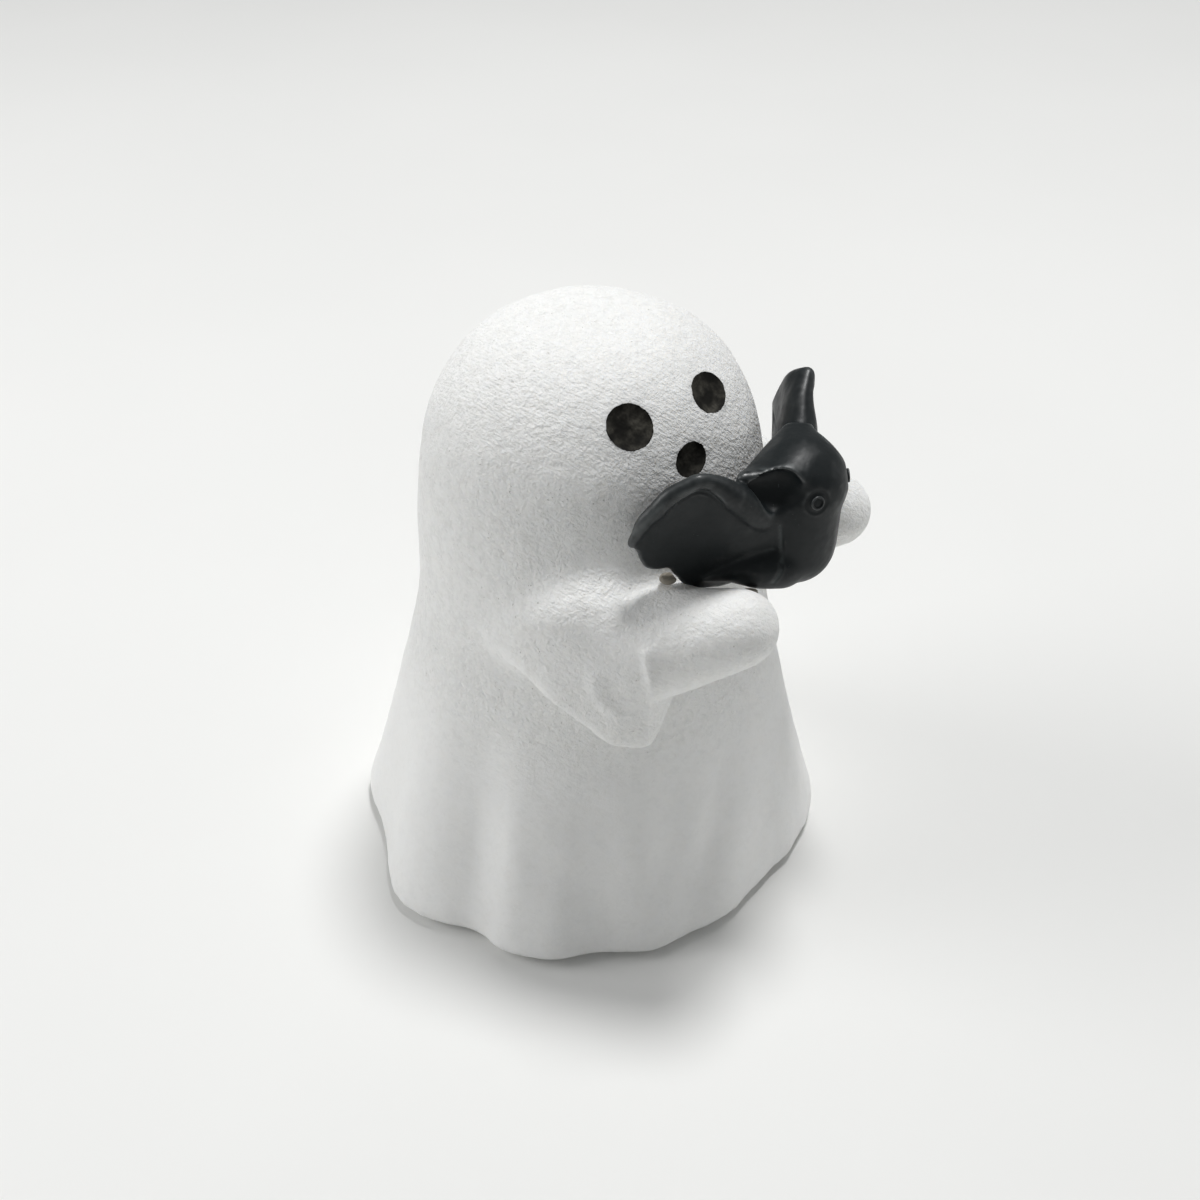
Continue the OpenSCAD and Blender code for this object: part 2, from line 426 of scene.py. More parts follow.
def attribute_value(tree, name):
    return add_node(tree, "ShaderNodeAttribute", attribute_name=name).outputs["Fac"]


def calculate(tree, operation, first, second):
    return add_node(tree, "ShaderNodeMath", {0: first, 1: second}, operation=operation).outputs[0]


def times(tree, first, second):
    return calculate(tree, "MULTIPLY", first, second)


def mix_colors(tree, factor, first, second):
    """A mix of two colours, by the numbers of its sockets because their names repeat for each type."""
    node = add_node(tree, "ShaderNodeMix", {0: factor, 6: first, 7: second}, data_type="RGBA")
    return node.outputs[2]


def add_bump(tree, shader, height, depth, strength):
    bump = add_node(tree, "ShaderNodeBump", {"Height": height, "Distance": depth, "Strength": strength})
    set_inputs(tree, shader, {"Normal": bump.outputs["Normal"]})


def marble_material(settings):
    """White sugary marble, pecked on the head and rubbed smooth on the arms and the hem."""
    material, tree, shader = new_material("pecked_marble")
    polish = attribute_value(tree, "polish")
    pecked = calculate(tree, "SUBTRACT", 1.0, polish)
    place = object_place(tree)
    crystals = add_node(tree, "ShaderNodeTexVoronoi", {"Vector": place, "Scale": 2400.0})
    crystal_tone = add_node(tree, "ShaderNodeSeparateColor", {"Color": crystals.outputs["Color"]})
    clouds = noise_value(tree, place, 700.0, 3.0)
    tone = times(tree, crystal_tone.outputs[0], remap(tree, clouds, 0.3, 0.7, 0.1, 0.8))
    tone = times(tree, tone, remap(tree, pecked, 0.0, 1.0, 0.35, 1.0))
    base = mix_colors(tree, tone, settings.marble_color, settings.grain_color)
    # Short strokes of the tool, which slant down to the ghost's left
    slant = slanted_place(tree, (1.4 * MM, 1.4 * MM, 0.3 * MM), (0.0, 0.81, -0.21))
    strokes = remap(tree, noise_value(tree, slant, 1.0, 1.0), 0.35, 0.65)
    pits = noise_value(tree, place, 2600.0, 2.0, 0.65)
    lumps = noise_value(tree, place, 900.0, 1.0)
    grit_places = remap(tree, noise_value(tree, place, 420.0, 2.0), 0.5, 0.66)
    grit = times(tree, remap(tree, pits, 0.64, 0.72), grit_places)
    grit = times(tree, grit, remap(tree, pecked, 0.2, 1.0, 0.08, 0.75))
    marks = calculate(tree, "ADD", times(tree, strokes, 0.14), pits)
    marks = calculate(tree, "ADD", marks, times(tree, lumps, 0.8))
    height = times(tree, marks, remap(tree, pecked, 0.0, 1.0, 0.06, 1.0))
    add_bump(tree, shader, height, settings.peck_depth, 1.0)
    set_inputs(tree, shader, {
        "Base Color": mix_colors(tree, grit, base, settings.speck_color),
        "Roughness": remap(tree, pecked, 0.0, 1.0, 0.42, 0.7), "Specular IOR Level": 0.4,
        "Subsurface Weight": 0.35, "Subsurface Radius": (1.0, 0.95, 0.88), "Subsurface Scale": 1.6 * MM})
    return material


def black_stone_material(settings):
    """Satin black stone with dust in its hollows, and its edges paler, partly from rubbing and partly as a
    painted highlight.
    """
    material, tree, shader = new_material("worn_black_stone")
    hollow = attribute_value(tree, "hollow")
    place = object_place(tree)
    clouds = noise_value(tree, place, 420.0, 4.0, 0.6)
    flecks = noise_value(tree, place, 2600.0, 2.0, 0.6)
    lines = attribute_value(tree, "dust")
    lines = times(tree, lines, remap(tree, clouds, 0.3, 0.6))
    dust_and_highlight_film = times(tree, remap(tree, hollow, 0.52, 0.8), remap(tree, clouds, 0.4, 0.75))
    # The pale lines add dust, and along the crest of each wing's ridge a painted highlight
    dust_and_highlight_film = calculate(tree, "ADD", dust_and_highlight_film, times(tree, lines, 1.6))
    specks = times(tree, remap(tree, flecks, 0.66, 0.74), remap(tree, clouds, 0.5, 0.7))
    dust = calculate(tree, "MAXIMUM", times(tree, dust_and_highlight_film, 0.3), times(tree, specks, 0.5))
    # Convex edges such as the ridges and ear rims are paler: partly rubbed wear, partly a painted highlight
    rub_and_highlight = times(tree, remap(tree, hollow, 0.46, 0.37), 0.16)
    color = mix_colors(tree, calculate(tree, "ADD", dust, rub_and_highlight), settings.stone_color, settings.dust_color)
    add_bump(tree, shader, calculate(tree, "ADD", flecks, clouds), 0.03 * MM, 0.35)
    # The gloss of the flat stone, for where the link to its rubbed edges is dropped
    set_inputs(tree, shader, {"Specular IOR Level": 0.3})
    set_inputs(tree, shader, {"Base Color": color, "Roughness": remap(tree, clouds, 0.3, 0.75, 0.38, 0.52),
                              "Specular IOR Level": remap(tree, hollow, 0.37, 0.48, 0.8, 0.27)})
    return material


def paint_material(settings):
    """Matt brown-black paint, thin enough in places for the stone's grit to show."""
    material, tree, shader = new_material("brushed_paint")
    place = object_place(tree)
    mottle = noise_value(tree, place, 460.0, 3.0, 0.6)
    grit = noise_value(tree, place, 2600.0, 2.0, 0.6)
    show = times(tree, remap(tree, mottle, 0.4, 0.72), remap(tree, grit, 0.25, 0.7, 0.4, 1.0))
    color = mix_colors(tree, show, settings.paint_color, settings.paint_speck_color)
    add_bump(tree, shader, calculate(tree, "ADD", mottle, grit), 0.06 * MM, 0.5)
    set_inputs(tree, shader, {"Base Color": color, "Roughness": remap(tree, mottle, 0.3, 0.7, 0.6, 0.85),
                              "Specular IOR Level": 0.08})
    return material


def glue_material(settings):
    """Clear tan glue, cloudy with stone dust, its colour darkened as painted shade of the gaps that it sits
    in.
    """
    material, tree, shader = new_material("dried_glue")
    cloud = noise_value(tree, object_place(tree), 1400.0, 3.0)
    pale = [min(1.0, part * 1.18) for part in settings.shaded_glue_color]
    color = mix_colors(tree, remap(tree, cloud, 0.35, 0.7), settings.shaded_glue_color, pale)
    set_inputs(tree, shader, {"Base Color": color, "Roughness": remap(tree, cloud, 0.3, 0.7, 0.45, 0.6),
                              "Transmission Weight": 0.2})
    return material


def floor_material(settings):
    """A plain pale tabletop with faint clouds."""
    material, tree, shader = new_material("pale_floor")
    clouds = noise_value(tree, object_place(tree), 9.0, 3.0)
    paler = [min(1.0, part * 1.02) for part in settings.floor_color]
    color = mix_colors(tree, remap(tree, clouds, 0.3, 0.7), settings.floor_color, paler)
    set_inputs(tree, shader, {"Base Color": color, "Roughness": 0.75, "Specular IOR Level": 0.2})
    return material


def shared_paint():
    """The dark paint, which the ghost's drilled walls and the paint on their floors share."""
    return bpy.data.materials.get("brushed_paint") or paint_material(bpy.context.scene.ghost_details)


# Ghost

# The drilled holes by their paint, with how far each was ground out level and up
FACE_NODES = {"right_eye_paint": (0.98, 1.02), "left_eye_paint": (1.07, 0.9), "mouth_paint": (1.07, 0.92)}


def drilled_hole(node):
    """The placing of a drilled hole by its painted floor, with Z out of the stone, and its radius."""
    shape = node_shape(node)
    points = np.array([vertex.co for vertex in shape.verts])
    shape.free()
    middle = points.mean(0)
    outward = np.linalg.svd(points - middle, full_matrices=False)[2][2]
    if outward[:2] @ middle[:2] < 0:
        outward = -outward
    depths = (points - middle) @ outward
    floor = Vector(middle + outward * depths.min())
    radius = np.linalg.norm(points - middle - depths[:, None] * outward, axis=1).max()
    turn = Vector((0, 0, 1)).rotation_difference(Vector(outward)).to_matrix().to_4x4()
    return Matrix.Translation(floor) @ turn @ Matrix.Diagonal((*FACE_NODES[node], 1, 1)), radius


def plug_shape(place, radius):
    """A low dome that fills a drilled hole up to the stone's surface."""
    rings = ((1.0, -0.4), (1.0, HOLE_DEPTH - 0.3), (0.65, HOLE_DEPTH - 0.1), (0.2, HOLE_DEPTH))
    plug = bmesh.new()
    for share, height in rings:
        bmesh.ops.create_circle(plug, segments=32, radius=radius * share,
                                matrix=place @ Matrix.Translation((0, 0, height)))
    wrap_skin(plug)
    return plug


def drill_shape(place, radius, seed):
    """A drill's path with a slightly uneven wall."""
    chip = 0.09
    drill = bmesh.new()
    bmesh.ops.create_cone(drill, cap_ends=True, segments=96, radius1=radius, radius2=radius,
                          depth=HOLE_DEPTH + DRILL_RUN)
    bmesh.ops.translate(drill, vec=(0, 0, (HOLE_DEPTH + DRILL_RUN) / 2), verts=drill.verts)
    for vertex in drill.verts:
        around = Vector((vertex.co.x, vertex.co.y, 0)).normalized()
        wobble = noise.noise(around * 4 + Vector((seed, 0, 0))) + 0.6 * noise.noise(around * 13)
        vertex.co += around * chip * wobble
    bmesh.ops.transform(drill, matrix=place, verts=drill.verts)
    return drill


# Small folds beside those of the CAD robe: the angle round the body, the half width, both in degrees, and
# the height
FOLDS = ((181, 5, -0.35), (192, 5, 0.55), (209, 6, -0.5), (223, 5, 0.35), (233, 5, -0.35), (274, 4, 0.3))
# Small changes to the edge of the hem, given in the same way
HEM_FOLDS = ((177, 8, 1.1), (201, 7, 0.5), (221, 6, -0.3), (231, 6, 1.0))


def fold_heights(points):
    """How far the robe's folds stand out at each point."""
    angle = np.degrees(np.arctan2(points[:, 1], points[:, 0])) % 360
    height = np.zeros(len(points))
    for middle, width, depth in FOLDS:
        height += depth * bell(angle - middle, width)
    # A long valley that leans forward on its way down below the near hand, and ends above the hem
    leaning = 250 + 0.85 * (points[:, 2] - 20)
    height -= 0.6 * bell(angle - leaning, 5) * ease(points[:, 2], 2, 12)
    height *= 1 - ease(points[:, 2], 8, 33)
    for middle, width, depth in HEM_FOLDS:
        height += depth * bell(angle - middle, width) * (1 - ease(points[:, 2], 4, 14))
    return height


# The broad top of the left sleeve, by balls from its back to the elbow with their radii
SLEEVE_TOP = ((19.3, -2.5, 43.4, 4.2), (19.6, -5.8, 46.0, 4.8), (19.1, -9.4, 48.0, 5.3),
              (17.7, -12.9, 48.4, 5.4), (17.0, -15.5, 47.3, 5.0))
# The flat front of the left sleeve, by balls with their radii
SLEEVE_FRONT = ((20.8, -20.6, 47.0, 1.2), (21.0, -20.6, 44.0, 1.2), (20.6, -20.0, 40.5, 1.0),
                (19.9, -19.0, 36.0, 0.9), (22.2, -17.0, 44.0, 1.2), (21.5, -17.0, 38.0, 1.0))
# The edge of the left cuff, from the outside of the forearm to its hanging tip
CUFF_EDGE = ((21.6, -20.6, 48.4), (21.9, -21.2, 46.0), (22.0, -21.6, 44.0), (21.4, -21.0, 40.0),
             (20.6, -20.0, 36.5), (20.2, -19.6, 33.5))
# The fold on the right sleeve, the dimple beside it and the hollow above the left arm
SLEEVE_FOLD = ((-24.0, -15.0, 44.1), (-24.2, -15.7, 41.4), (-23.6, -17.5, 39.6))
SLEEVE_DIMPLE = (-23.4, -17.8, 42.4)
ARM_HOLLOW = (16.5, -16.0, 52.0)
# Lines inside the left arm, and through the shoulder where its sleeve flows into the body
ARM_AXIS = ((18, -14, 44), (15.8, -19, 46), (13.6, -28, 49.6))
SHOULDER_AXIS = ((15, 4, 45), (18, -9.6, 47), (16, -13, 50))
# Rounds of smoothing of the whole stone, the shoulders and the face
STONE_ROUNDS = 14
SHOULDER_ROUNDS = 75
FACE_ROUNDS = 40
# The robe's underside is ground flat where it lies lower than this
FOOT_HEIGHT = 0.45
# How much wider than a drilled hole its filling is, and how much wider the hole is drilled again
PLUG_SHARE = 1.25
DRILL_SLACK = 0.05


def drape_heights(points):
    """The hand-carved forms of the sleeves: a fold, a dimple, the hollows above the arms and the cuffs."""
    height = 0.32 * bell(from_line(points, SLEEVE_FOLD), 1.0)
    height -= 0.2 * bell(from_point(points, SLEEVE_DIMPLE), 1.5)
    for side in (-1, 1):
        mirror = np.array((side, 1, 1))
        height -= 0.7 * bell(from_point(points, mirror * ARM_HOLLOW), 2.6)
        height += 0.5 * bell(from_line(points, mirror * CUFF_EDGE), 0.55)
    return height


def arm_zone(left):
    """1 on the cuffs and arms, fading to 0 on the body, for points folded to the left side."""
    return 1 - ease(from_line(left, ARM_AXIS), 6.5, 10)


def shoulder_zone(left):
    """1 where the sleeves flow into the body, for points folded to the left side."""
    near = 1 - ease(from_line(left, SHOULDER_AXIS), 9, 15)
    return near * np.maximum(ease(left[:, 2], 43, 47), ease(left[:, 1], -10, -3))


def ghost_block(holes):
    """The CAD body with its drilled holes filled and with fuller sleeves."""
    block = node_shape("ghost_body")
    for place, radius in holes:
        join(block, plug_shape(place, radius * PLUG_SHARE))
    for side in (-1, 1):
        add_chain(block, [(Vector((side * x, y, z)), radius) for x, y, z, radius in SLEEVE_TOP])
        add_skin(block, [(Vector((side * x, y, z)), radius) for x, y, z, radius in SLEEVE_FRONT])
    return block


def smoothed_stone(points, edges, left, holes):
    """The points rubbed smooth, most at the shoulders and round the face, and least along the cuffs."""
    face_zone = np.zeros(len(points))
    for place, radius in holes:
        away = from_point(points, place.translation)
        face_zone = np.maximum(face_zone, 1 - ease(away, radius, 2.2 * radius))
    near_cuff = 1 - ease(from_line(left, CUFF_EDGE), 0.8, 2.2)
    points = relaxed(points, edges, PULL - 0.25 * near_cuff, STONE_ROUNDS)
    points = relaxed(points, edges, PULL * shoulder_zone(left) * (1 - 0.7 * near_cuff), SHOULDER_ROUNDS)
    return relaxed(points, edges, PULL * face_zone, FACE_ROUNDS)


def with_folds(points, normals, left, settings):
    """The points with the stone's unevenness, the drapes and folds of the robe, and a flat foot."""
    bumps = rough(points, 7.0) + 0.45 * rough(points, 2.6) + 0.2 * rough(points, 1.1)
    bumps *= settings.unevenness / MM * (1 - 0.5 * arm_zone(left))
    bumps += drape_heights(points)
    reach = np.linalg.norm(points[:, :2], axis=1)
    outward = points * (1, 1, 0) / np.maximum(reach, 1)[:, None]
    folds = fold_heights(points) * ease(reach, 10, 22)
    points = points + normals * bumps[:, None] + outward * folds[:, None]
    foot = points[:, 2] < FOOT_HEIGHT
    points[foot & (normals[:, 2] < -0.6), 2] = 0
    points[:, 2] = np.maximum(points[:, 2], 0)
    return points


def mark_polish(mesh):
    """Stores how smooth the marble is: pecked on the head, and rubbed on the arms and the robe."""
    points = get_points(mesh)
    robe = 1 - ease(points[:, 2], 16, 40)
    set_attribute(mesh, "polish", np.maximum(0.35 * arm_zone(to_left(points)), 0.95 * robe))


def carve_ghost(settings):
    """The marble ghost's mesh in millimetres, and its drilled holes."""
    holes = [drilled_hole(node) for node in FACE_NODES]
    ghost = new_object(ghost_block(holes), "marble_ghost")
    rebuild(ghost, settings.grid / MM)
    mesh = ghost.data
    points = get_points(mesh)
    left = to_left(points)
    points = smoothed_stone(points, get_edges(mesh), left, holes)
    set_points(mesh, points)
    set_points(mesh, with_folds(points, get_normals(mesh), left, settings))
    for index, (place, radius) in enumerate(holes):
        combine(ghost, drill_shape(place, radius + DRILL_SLACK, index), "DIFFERENCE")
    mark_polish(ghost.data)
    return ghost, holes


def paint_walls(ghost, holes):
    """Gives the faces inside the drilled holes the paint, which is the second material."""
    for place, radius in holes:
        inverse = (Matrix.Scale(MM, 4) @ place).inverted()
        out = place.to_3x3().col[2].normalized()
        for polygon in ghost.data.polygons:
            spot = inverse @ polygon.center
            inside = spot.xy.length < radius + 0.2 and -0.1 < spot.z < HOLE_DEPTH + 0.3
            if inside and (polygon.normal.dot(out) < 0.3 or spot.z < 0.1):
                polygon.material_index = 1


class OBJECT_OT_ghost(bpy.types.Operator):
    """Carve the marble ghost with its arms, folds and drilled face"""
    bl_idname = "object.marble_ghost"
    bl_label = "Marble ghost"

    def execute(self, context):
        settings = context.scene.ghost_stone
        ghost, holes = carve_ghost(settings)
        finish_piece(ghost, [marble_material(settings), shared_paint()], "ghost_body")
        paint_walls(ghost, holes)
        return {"FINISHED"}


# Bat

def bat_place(side, front, height):
    """A place on the bat: out to its left, back from its front and up from its foot."""
    return Vector((side, BAT_LOW.y + front, BAT_LOW.z + height))


# The bat is made of balls, each given out to the side, back from its front and up from its foot, and by
# its radius. The head and the body come first, and then the flat of the crown
HEAD = (0, 5.6, 12.6, 5.6)
BODY = (0, 5.6, 5.4, 5.4)
CROWN = (0.6, 5.3, 13.0, 5.6)
# The ears: the rims on the crown, the flaps on the sides, the tips and the hollows
EAR_RIM = ((5.2, 6.8, 16.2, 1.0), (3.9, 5.0, 16.7, 1.0), (2.7, 3.5, 16.0, 1.4))
LEFT_BACK_RIM = ((4.4, 8.7, 16.7, 1.0), (5.3, 7.1, 16.7, 1.0))
RIGHT_BACK_RIM = ((4.2, 9.1, 15.4, 1.0),)
EAR_FLAP = ((4.2, 9.1, 15.4, 1.0), (5.2, 6.8, 16.2, 1.0), (3.5, 7.5, 13.5, 2.2))
LEFT_TIP = (7.2, 8.8, 15.2, 0.85)
RIGHT_TIP = (7.2, 8.8, 16.5, 0.85)
EAR_CUP = ((5.85, 4.7, 15.3, 2.7), (7.7, 7.7, 16.0, 1.05), (5.0, 3.2, 14.9, 1.6))
# The hips, which swell along the lower edges of the wings
HIP = ((3.4, 5.2, 4.2, 3.2), (5.6, 6.8, 4.3, 2.6), (7.8, 9.3, 4.5, 1.7), (10.4, 11.2, 4.3, 0.7))
HIP_STEPS = 5
# The wings: the arm from the bend to the body, the ridge from the bend to the tip, and the scalloped edge
RIGHT_ARM = ((13.4, 11.1, 18.9, 0.95), (12.0, 10.1, 18.2, 1.05), (9.7, 8.7, 15.6, 1.8),
             (7.0, 7.2, 12.5, 2.0), (4.3, 6.4, 11.1, 2.1))
RIGHT_RIDGE = ((13.4, 11.1, 18.9, 0.95), (15.4, 13.3, 17.3, 1.1), (16.4, 14.5, 15.6, 1.05),
               (17.2, 15.6, 14.0, 0.95), (17.75, 16.7, 11.2, 0.6))
RIGHT_EDGE = ((17.0, 16.3, 10.2), (16.7, 16.2, 9.2), (16.0, 16.0, 7.7), (15.6, 15.7, 7.2),
              (15.1, 15.4, 6.9), (14.5, 14.9, 6.8), (13.9, 14.3, 6.9), (13.5, 14.0, 6.5),
              (13.0, 13.8, 5.6), (12.5, 13.5, 4.8), (12.0, 13.2, 3.9), (11.1, 12.6, 3.0),
              (9.7, 11.6, 2.4), (7.7, 10.2, 2.0), (4.6, 8.8, 1.8))
LEFT_ARM = ((14.1, 11.5, 18.5, 1.1), (11.4, 10.8, 16.6, 1.6), (8.8, 9.5, 14.2, 2.2),
            (6.4, 8.4, 12.3, 2.3), (4.0, 7.2, 11.6, 2.4))
LEFT_RIDGE = ((14.1, 11.5, 18.5, 1.1), (14.95, 13.3, 16.9, 1.3), (16.6, 14.8, 14.3, 1.3),
              (17.8, 16.8, 11.2, 0.7))
LEFT_EDGE = ((17.4, 16.9, 9.9), (16.7, 16.4, 8.1), (15.3, 15.7, 7.1), (14.1, 15.1, 6.8),
             (13.5, 14.8, 6.4), (12.9, 14.4, 5.4), (12.0, 14.0, 4.7), (10.8, 13.4, 4.2),
             (8.0, 11.9, 3.2), (4.6, 10.0, 2.2))
EDGE_RADIUS = 0.4
EDGE_STEPS = 4
# The corners of the right web's root, beside the body
WEB_ROOT = ((8.7, 8.1, 10.3), (5.1, 5.0, 10.3), (5.1, 6.3, 5.9), (7.7, 8.3, 6.9))
# The way that the front of the left wing faces
WING_FRONT = Vector((0.652, -0.74, -0.165))


def bat_balls(rows, side=1):
    """Balls on the bat's left side, or on its right if the side is -1."""
    return [(bat_place(side * out, back, up), radius) for out, back, up, radius in rows]


def bat_limb(rows, steps):
    """Balls on a smooth curve through the balls of the rows."""
    places, radii = zip(*bat_balls(rows))
    return curved_chain(places, radii, steps)


def wing_shape(settings, arm, ridge, edge):
    """A wing on the left side: its arm, its ridge and the web between them and the lower edge."""
    wing = bmesh.new()
    arm_chain = bat_limb(arm, CURVE_STEPS)
    ridge_chain = bat_limb(ridge, CURVE_STEPS)
    add_chain(wing, arm_chain)
    add_chain(wing, ridge_chain)
    web_r = settings.web_thickness / MM / 2
    sink = settings.web_sink / MM
    top = [place + WING_FRONT * (radius - sink - web_r)
           for place, radius in ridge_chain[::-1] + arm_chain[1:]]
    bottom = curve_through([bat_place(*place) for place in (ridge[-1][:3], *edge)], EDGE_STEPS)
    stops = np.linspace(0, len(bottom) - 1, len(top))
    bottom = [bottom[round(stop)] for stop in stops]
    for low, high in zip(zip(bottom, bottom[1:]), zip(top, top[1:])):
        add_skin(wing, [(place, EDGE_RADIUS) for place in low] + [(place, web_r) for place in high])
    # A smooth back over the outer part of the arm and the ridge
    back = arm_chain[:3 * CURVE_STEPS] + ridge_chain
    add_skin(wing, [(place - WING_FRONT * (radius - web_r), web_r) for place, radius in back])
    return wing


def root_shape(settings):
    """The root of the right web, which runs on to the body's side."""
    root = bmesh.new()
    add_skin(root, [(bat_place(*place), settings.web_thickness / MM / 2) for place in WEB_ROOT])
    return root


def head_shape():
    """The head: a ball with a flat top between the rims of the ears, and an ear flap on each side."""
    head = bmesh.new()
    top = bat_balls((HEAD, CROWN))
    # The tip of the left ear is lower, and the back of its rim higher
    for side, tip, back_rim in ((1, LEFT_TIP, LEFT_BACK_RIM), (-1, RIGHT_TIP, RIGHT_BACK_RIM)):
        top += bat_balls((*back_rim, *EAR_RIM), side)
        add_skin(head, bat_balls((tip, *EAR_FLAP), side))
    add_skin(head, top)
    return head


def cup_shape(side):
    """The shallow hollow of an ear, wide towards the face and narrow at the ear's tip."""
    cup = bmesh.new()
    add_skin(cup, bat_balls(EAR_CUP, side))
    # The cup is flattened towards the head's surface, where the ear faces out
    flattening = 0.35
    reach = 5.75
    out = Vector((0.9 * side, -0.138, 0.415))
    surface = bat_place(*HEAD[:3]) + reach * out
    for vertex in cup.verts:
        vertex.co -= flattening * (vertex.co - surface).dot(out) * out
    return cup


def soft_zone(mesh):
    """How smooth the bat is rubbed: most on its webs, belly and wings' backs, and less on its crown."""
    points = get_points(mesh)
    side = np.sign(points[:, :1])
    folded = np.abs(points[:, 0])
    out = get_normals(mesh) * np.column_stack([side, np.ones((len(points), 2))])
    height = points[:, 2] - BAT_LOW.z
    crown = ease(height, 14.6, 15.8) * (1 - ease(folded, 4.5, 6.5))
    middle = [bat_place(13.0, 13.0, 10.3), bat_place(7.0, 7.5, 8.8)]
    web = 1 - ease(from_line(to_left(points), middle), 1.5, 3.5)
    back = ease(-(out @ np.array(WING_FRONT)), -0.1, 0.4) * ease(folded, 6, 8)
    belly = (1 - ease(points[:, 1] - BAT_LOW.y, 4, 6)) * (1 - ease(height, 11.5, 13))
    return np.maximum.reduce([0.2 * crown, web, back, belly])


def hip_shape():
    """The left hip: a leaf-shaped swelling along the lower edge of the wing."""
    hip = bmesh.new()
    add_chain(hip, bat_limb(HIP, HIP_STEPS))
    return hip


# Lines on the left side of the bat: under the arm, over the hip, beside the body, round the crown, down
# the web, along the crest of the wing's ridge, where its pale line is a painted highlight, and over the
# cheek
ARM_LINE = ((15.4, 12.4, 16.7), (14.0, 11.2, 17.6), (12.6, 10.2, 17.3), (11.2, 9.5, 15.8),
            (9.2, 8.6, 13.6), (7.4, 7.6, 11.2), (6.4, 6.9, 10.2))
HIP_LINE = ((11.1, 11.3, 4.5), (9.3, 10.1, 5.8), (8.0, 9.3, 6.3), (6.6, 7.9, 6.7), (5.5, 5.0, 7.3))
BODY_LINE = ((5.4, 4.6, 10.6), (5.4, 4.4, 8.1), (5.9, 3.9, 5.4), (6.4, 4.6, 3.6))
CROWN_LINE = ((4.4, 9.2, 17.2), (5.2, 6.9, 17.2), (4.0, 5.1, 17.7), (2.9, 3.6, 17.2))
FINGER_LINE = ((12.0, 11.5, 15.5), (12.0, 12.2, 12.6), (12.1, 12.6, 11.2), (12.3, 13.4, 8.6),
               (12.7, 14.3, 5.8))
CREST_HIGHLIGHT_LINE = ((18.1, 16.3, 12.9), (17.9, 15.0, 14.7), (17.2, 14.0, 16.1), (16.1, 12.6, 17.6),
              (14.6, 11.0, 18.5))
CHEEK_LINE = ((4.2, 2.6, 14.6), (5.3, 3.4, 13.0))
# The lines that are cut as grooves and those that are pale, each with its width and its share of the most
GROOVES = ((ARM_LINE, 0.3, 1.0), (HIP_LINE, 0.3, 0.6), (BODY_LINE, 0.25, 0.4), (FINGER_LINE, 0.6, 0.35))
# The pale line along the crest of the wing's ridge is a painted highlight
PALE_LINES = ((BODY_LINE, 0.3, 1.0), (CROWN_LINE, 0.3, 0.8), (HIP_LINE, 0.5, 0.4), (CREST_HIGHLIGHT_LINE, 0.3, 1.0))
# The middle of the left eye, and the depth, radius and width of the groove round it
EYE = (3.31, 1.19, 13.66)
SOCKET_DEPTH = 0.16
SOCKET_RADIUS = 1.15
SOCKET_WIDTH = 0.35
# Rounds of smoothing of the whole bat, its soft parts, the bat after its ears are cut, and its cheeks
BAT_ROUNDS = 6
SOFT_ROUNDS = 45
CUP_ROUNDS = 4
CHEEK_ROUNDS = 40
# Rounds of smoothing that tell hollows from edges
WEAR_ROUNDS = 12


def along_lines(left, lines):
    """How strongly each point lies on some lines of the bat, for points folded to the left side."""
    most = np.zeros(len(left))
    for line, width, share in lines:
        places = snapped([bat_place(*place) for place in line], left)
        distance = from_line(left, curve_through(places, CURVE_STEPS))
        most = np.maximum(most, share * bell(distance, width))
    return most


def with_carved_lines(points, normals, settings):
    """The points with the thin grooves under the arms and beside the body, and the eye sockets."""
    left = to_left(points)
    cut = settings.groove_depth / MM * along_lines(left, GROOVES)
    cut += SOCKET_DEPTH * bell(from_point(left, bat_place(*EYE)) - SOCKET_RADIUS, SOCKET_WIDTH)
    return points - normals * cut[:, None]


def eye_shape(bat, side, diameter):
    """A ring that lies on the side of the bat's head, half sunk into it."""
    tube = 0.15
    _, place, out, _ = bat.closest_point_on_mesh(bat_place(side * EYE[0], EYE[1], EYE[2]))
    turn = Vector((0, 0, 1)).rotation_difference(out).to_matrix().to_4x4()
    eye = bmesh.new()
    ring = bmesh.ops.create_circle(eye, segments=16, radius=tube)["verts"]
    bmesh.ops.rotate(eye, cent=(0, 0, 0), matrix=Matrix.Rotation(math.pi / 2, 3, "X"), verts=ring)
    bmesh.ops.translate(eye, vec=(diameter / 2 - tube, 0, 0), verts=ring)
    bmesh.ops.spin(eye, geom=eye.edges[:], cent=(0, 0, 0), axis=(0, 0, 1), angle=2 * math.pi,
                   steps=48, use_merge=True)
    bmesh.ops.remove_doubles(eye, verts=eye.verts, dist=1e-4)
    bmesh.ops.recalc_face_normals(eye, faces=eye.faces)
    bmesh.ops.transform(eye, matrix=Matrix.Translation(place) @ turn, verts=eye.verts)
    return eye


def mark_wear(mesh):
    """Stores how hollow the stone is at each point, and how pale dust, wear and a painted highlight along
    the wing's crest make it.
    """
    points = get_points(mesh)
    drawn_in = relaxed(points, get_edges(mesh), PULL, WEAR_ROUNDS)
    sunk = ((drawn_in - points) * get_normals(mesh)).sum(1)
    set_attribute(mesh, "hollow", np.clip(0.5 + 2.5 * sunk, 0, 1))
    set_attribute(mesh, "dust", along_lines(to_left(points), PALE_LINES))


